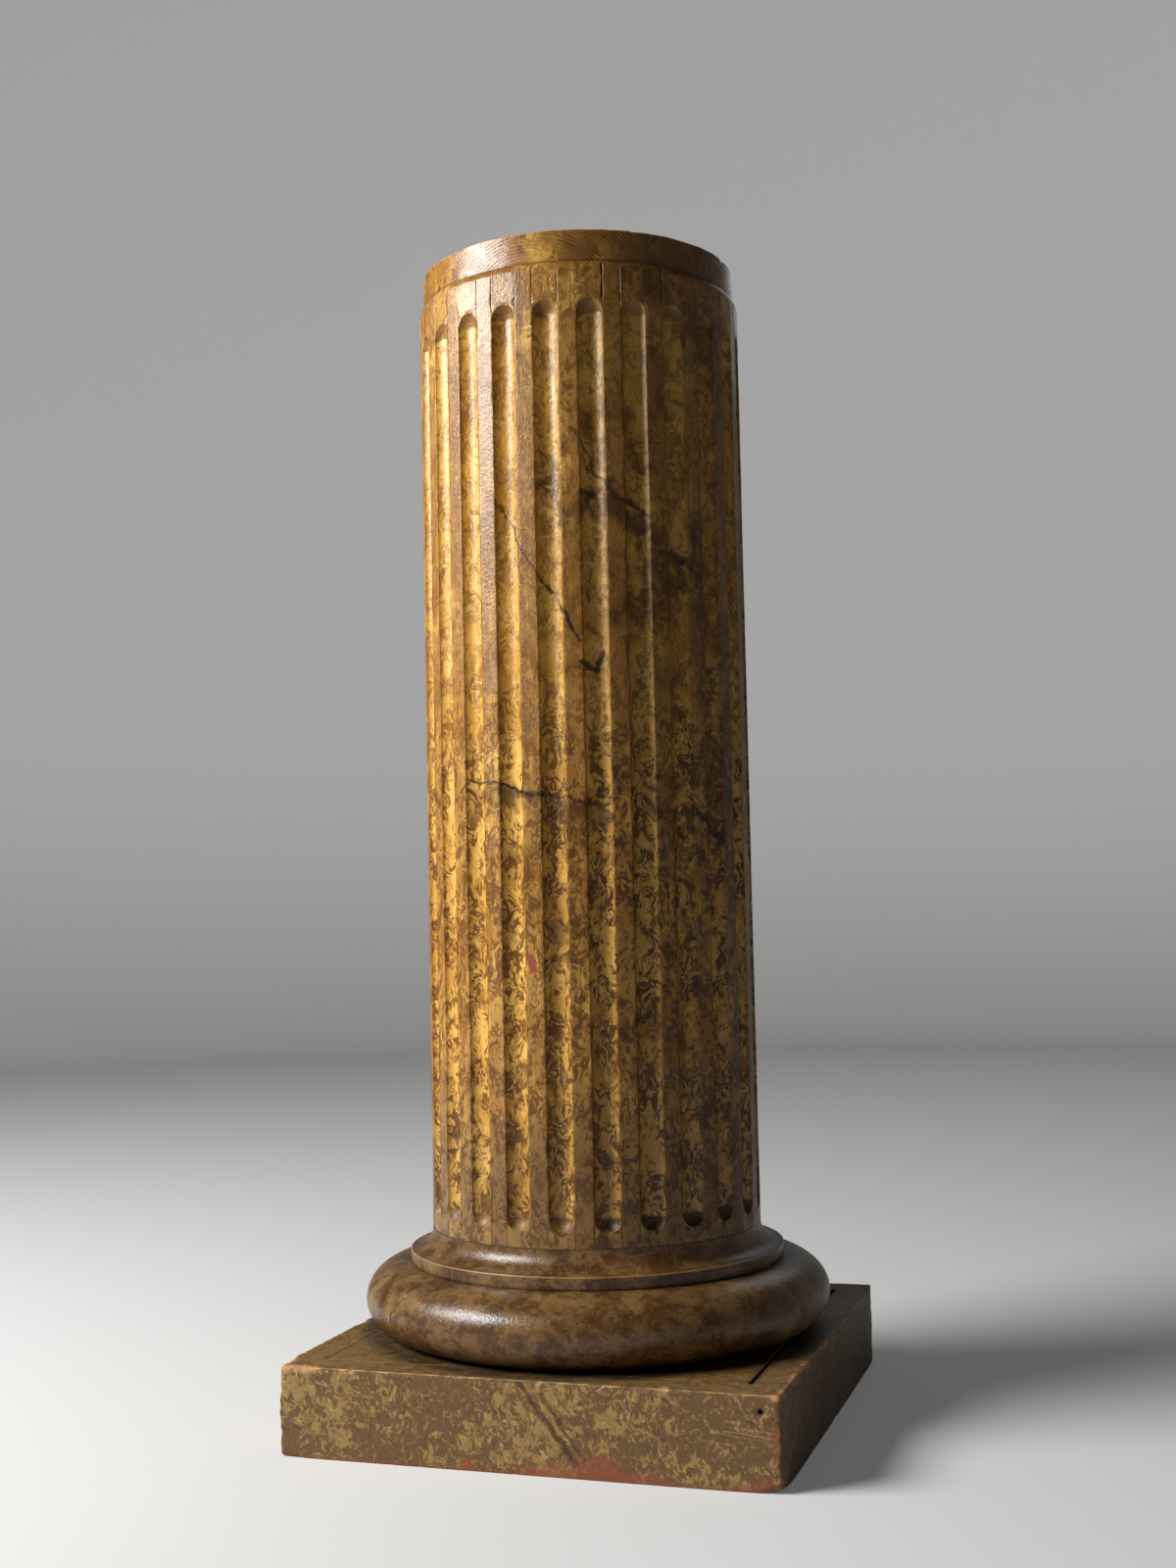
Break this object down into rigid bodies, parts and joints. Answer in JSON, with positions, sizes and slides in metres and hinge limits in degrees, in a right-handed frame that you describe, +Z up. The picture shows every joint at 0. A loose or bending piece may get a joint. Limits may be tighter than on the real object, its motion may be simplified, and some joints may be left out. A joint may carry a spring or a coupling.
{
  "type": "fluted pedestal column",
  "caption": "Wooden display column: hollow fluted shaft built of staves, with scooped flute ends, on a torus and a boarded square plinth, painted to imitate marble.",
  "frame": {"origin": "middle of the plinth's underside, at floor level", "axes": "+Z up along the shaft; the plinth's front faces -Y and +X is its right-hand side"},
  "size_m": [0.43, 0.43, 1.0445],
  "materials": {
    "flute_paint": "ochre imitation-marble paint under worn varnish",
    "fillet_paint": "mauve-brown imitation-marble paint under worn varnish",
    "base_paint": "dark brown imitation-marble paint, satin varnish",
    "plinth_paint": "olive and grey-brown imitation-marble paint over red ground, worn at the edges",
    "cap_wood": "dark stained wood with end grain showing at the rim"
  },
  "bodies": {
    "root": {"plinth_front": "plinth_paint", "plinth_right": "plinth_paint", "plinth_back": "plinth_paint", "plinth_left": "plinth_paint", "plinth_panel": "plinth_paint", "torus": "base_paint", "flare_ring": "base_paint", "cap_disc": "cap_wood", "flute_stave_01": "flute_paint", "flute_stave_02": "flute_paint", "flute_stave_03": "flute_paint", "flute_stave_04": "flute_paint", "flute_stave_05": "flute_paint", "flute_stave_06": "flute_paint", "flute_stave_07": "flute_paint", "flute_stave_08": "flute_paint", "flute_stave_09": "flute_paint", "flute_stave_10": "flute_paint", "flute_stave_11": "flute_paint", "flute_stave_12": "flute_paint", "flute_stave_13": "flute_paint", "flute_stave_14": "flute_paint", "flute_stave_15": "flute_paint", "flute_stave_16": "flute_paint", "flute_stave_17": "flute_paint", "flute_stave_18": "flute_paint", "flute_stave_19": "flute_paint", "flute_stave_20": "flute_paint", "flute_stave_21": "flute_paint", "flute_stave_22": "flute_paint", "flute_stave_23": "flute_paint", "flute_stave_24": "flute_paint", "fillet_stave_01": "fillet_paint", "fillet_stave_02": "fillet_paint", "fillet_stave_03": "fillet_paint", "fillet_stave_04": "fillet_paint", "fillet_stave_05": "fillet_paint", "fillet_stave_06": "fillet_paint", "fillet_stave_07": "fillet_paint", "fillet_stave_08": "fillet_paint", "fillet_stave_09": "fillet_paint", "fillet_stave_10": "fillet_paint", "fillet_stave_11": "fillet_paint", "fillet_stave_12": "fillet_paint", "fillet_stave_13": "fillet_paint", "fillet_stave_14": "fillet_paint", "fillet_stave_15": "fillet_paint", "fillet_stave_16": "fillet_paint", "fillet_stave_17": "fillet_paint", "fillet_stave_18": "fillet_paint", "fillet_stave_19": "fillet_paint", "fillet_stave_20": "fillet_paint", "fillet_stave_21": "fillet_paint", "fillet_stave_22": "fillet_paint", "fillet_stave_23": "fillet_paint", "fillet_stave_24": "fillet_paint"}
  },
  "joints": []
}
